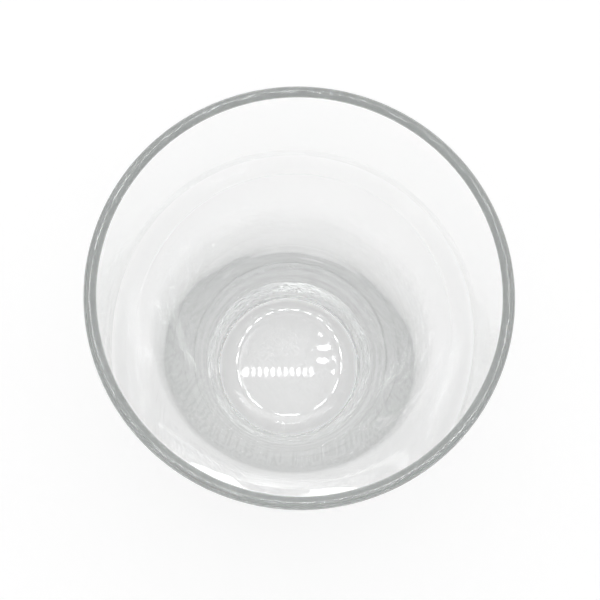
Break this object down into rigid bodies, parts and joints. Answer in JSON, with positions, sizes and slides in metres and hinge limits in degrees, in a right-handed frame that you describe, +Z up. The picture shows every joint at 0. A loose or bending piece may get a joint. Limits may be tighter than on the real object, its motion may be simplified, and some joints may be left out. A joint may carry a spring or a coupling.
{
  "type": "mixing glass",
  "caption": "Tapered clear glass tumbler for stirring or shaking drinks, with a thick base, a recessed underside and a rounded lip.",
  "frame": {"origin": "centre of the plane the glass stands on", "axes": "+Z up along the glass's axis, from the base out through the mouth; X and Y are equivalent"},
  "size_m": [0.0888, 0.0888, 0.149],
  "materials": {
    "clear_glass": "fire-polished, clear with a faint grey-green edge tint"
  },
  "bodies": {
    "root": {"mixing_glass": "clear_glass"}
  },
  "joints": []
}
